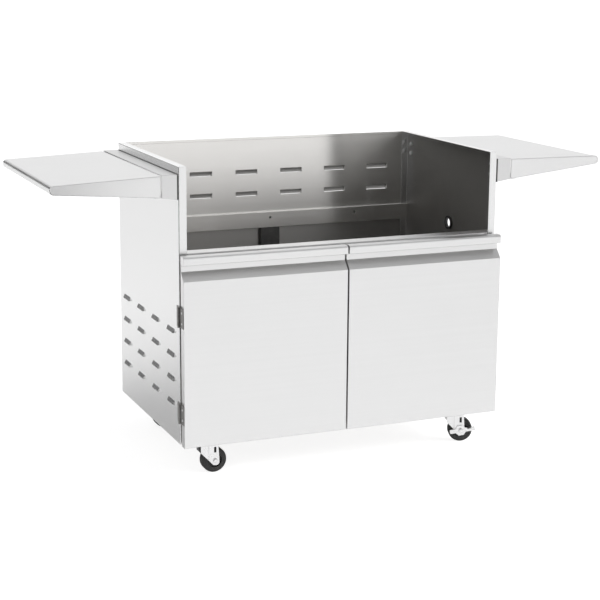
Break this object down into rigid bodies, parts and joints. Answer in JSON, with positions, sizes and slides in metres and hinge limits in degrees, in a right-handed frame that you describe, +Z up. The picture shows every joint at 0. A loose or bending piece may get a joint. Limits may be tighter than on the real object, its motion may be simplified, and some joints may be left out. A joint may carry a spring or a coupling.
{
  "type": "grill cart",
  "caption": "Stainless grill cart: open well with louvred back for a drop-in grill head, overlay doors with folded pulls, folding side shelves, swivel casters.",
  "frame": {"origin": "floor level under the middle of the whole outline, shelves out and doors closed", "axes": "+X to the right as seen from the doors, +Y to the back, +Z up"},
  "size_m": [1.7427, 0.646, 0.915],
  "materials": {
    "brushed_sheet": "stainless sheet with a fine straight grain",
    "zinc_hardware": "bright zinc plate",
    "dark_post": "dark satin paint",
    "wheel_tyre": "black rubber tread",
    "wheel_centre": "black moulded plastic",
    "line_grommet": "black rubber",
    "catch_housing": "dark moulded plastic"
  },
  "bodies": {
    "cart": {"back_centre_channel": "dark_post", "back_rail": "brushed_sheet", "bracket_bolts": "zinc_hardware", "caster_bolts": "zinc_hardware", "floor_pan": "brushed_sheet", "front_base_channel": "brushed_sheet", "front_left_caster_plate": "zinc_hardware", "front_rail": "brushed_sheet", "front_right_caster_plate": "zinc_hardware", "gas_line_grommet": "line_grommet", "left_door_magnet": "catch_housing", "left_hinge_fixed_leaves": "zinc_hardware", "left_hinge_pins": "zinc_hardware", "left_lower_back_panel": "brushed_sheet", "left_shelf_bracket": "brushed_sheet", "left_side_panel": "brushed_sheet", "rear_base_channel": "brushed_sheet", "rear_left_caster_plate": "zinc_hardware", "rear_right_caster_plate": "zinc_hardware", "right_door_magnet": "catch_housing", "right_hinge_fixed_leaves": "zinc_hardware", "right_hinge_pins": "zinc_hardware", "right_lower_back_panel": "brushed_sheet", "right_shelf_bracket": "brushed_sheet", "right_side_panel": "brushed_sheet", "upper_back_panel": "brushed_sheet"},
    "left_door": {"left_door_skin": "brushed_sheet", "left_door_liner": "brushed_sheet", "left_strike_plate": "zinc_hardware", "left_hinge_door_leaves": "zinc_hardware"},
    "left_shelf": {"left_shelf_shell": "brushed_sheet", "left_shelf_stiffener": "brushed_sheet", "left_shelf_pins": "zinc_hardware"},
    "right_door": {"right_door_skin": "brushed_sheet", "right_door_liner": "brushed_sheet", "right_strike_plate": "zinc_hardware", "right_hinge_door_leaves": "zinc_hardware"},
    "right_shelf": {"right_shelf_shell": "brushed_sheet", "right_shelf_stiffener": "brushed_sheet", "right_shelf_pins": "zinc_hardware"},
    "front_left_fork": {"front_left_caster_fork": "zinc_hardware", "front_left_axle": "zinc_hardware"},
    "front_left_wheel": {"front_left_wheel_hub": "wheel_centre", "front_left_tyre": "wheel_tyre"},
    "front_right_fork": {"front_right_caster_fork": "zinc_hardware", "front_right_axle": "zinc_hardware"},
    "front_right_wheel": {"front_right_wheel_hub": "wheel_centre", "front_right_tyre": "wheel_tyre"},
    "front_right_pedal": {"front_right_brake_pedal": "zinc_hardware"},
    "rear_left_fork": {"rear_left_caster_fork": "zinc_hardware", "rear_left_axle": "zinc_hardware"},
    "rear_left_wheel": {"rear_left_wheel_hub": "wheel_centre", "rear_left_tyre": "wheel_tyre"},
    "rear_right_fork": {"rear_right_caster_fork": "zinc_hardware", "rear_right_axle": "zinc_hardware"},
    "rear_right_wheel": {"rear_right_wheel_hub": "wheel_centre", "rear_right_tyre": "wheel_tyre"},
    "rear_right_pedal": {"rear_right_brake_pedal": "zinc_hardware"}
  },
  "joints": [
    {"name": "left_door_hinge", "type": "hinge", "parent": "cart", "child": "left_door", "pos_m": [-0.5115, -0.2905, 0.174], "axis": [0, 0, -1], "range_deg": [0, 110]},
    {"name": "left_shelf_pivot", "type": "hinge", "parent": "cart", "child": "left_shelf", "pos_m": [-0.5665, 0, 0.838], "axis": [0, -1, 0], "range_deg": [0, 87]},
    {"name": "right_door_hinge", "type": "hinge", "parent": "cart", "child": "right_door", "pos_m": [0.5115, -0.2905, 0.174], "axis": [0, 0, 1], "range_deg": [0, 110]},
    {"name": "right_shelf_pivot", "type": "hinge", "parent": "cart", "child": "right_shelf", "pos_m": [0.5665, 0, 0.838], "axis": [0, 1, 0], "range_deg": [0, 89]},
    {"name": "front_left_swivel", "type": "hinge", "parent": "cart", "child": "front_left_fork", "pos_m": [-0.411, -0.2375, 0.107], "axis": [0, 0, 1], "continuous": true},
    {"name": "front_left_wheel_spin", "type": "hinge", "parent": "front_left_fork", "child": "front_left_wheel", "pos_m": [-0.393, -0.2375, 0.038], "axis": [0, 1, 0], "continuous": true},
    {"name": "front_right_swivel", "type": "hinge", "parent": "cart", "child": "front_right_fork", "pos_m": [0.411, -0.2375, 0.107], "axis": [0, 0, 1], "continuous": true},
    {"name": "front_right_wheel_spin", "type": "hinge", "parent": "front_right_fork", "child": "front_right_wheel", "pos_m": [0.42791, -0.24366, 0.038], "axis": [0.342, 0.9397, 0], "continuous": true},
    {"name": "front_right_pedal_press", "type": "hinge", "parent": "front_right_fork", "child": "front_right_pedal", "pos_m": [0.42791, -0.24366, 0.038], "axis": [0.342, 0.9397, 0], "range_deg": [0, 20]},
    {"name": "rear_left_swivel", "type": "hinge", "parent": "cart", "child": "rear_left_fork", "pos_m": [-0.411, 0.2335, 0.107], "axis": [0, 0, 1], "continuous": true},
    {"name": "rear_left_wheel_spin", "type": "hinge", "parent": "rear_left_fork", "child": "rear_left_wheel", "pos_m": [-0.393, 0.2335, 0.038], "axis": [0, 1, 0], "continuous": true},
    {"name": "rear_right_swivel", "type": "hinge", "parent": "cart", "child": "rear_right_fork", "pos_m": [0.411, 0.2335, 0.107], "axis": [0, 0, 1], "continuous": true},
    {"name": "rear_right_wheel_spin", "type": "hinge", "parent": "rear_right_fork", "child": "rear_right_wheel", "pos_m": [0.429, 0.2335, 0.038], "axis": [0, 1, 0], "continuous": true},
    {"name": "rear_right_pedal_press", "type": "hinge", "parent": "rear_right_fork", "child": "rear_right_pedal", "pos_m": [0.429, 0.2335, 0.038], "axis": [0, 1, 0], "range_deg": [0, 20]}
  ]
}
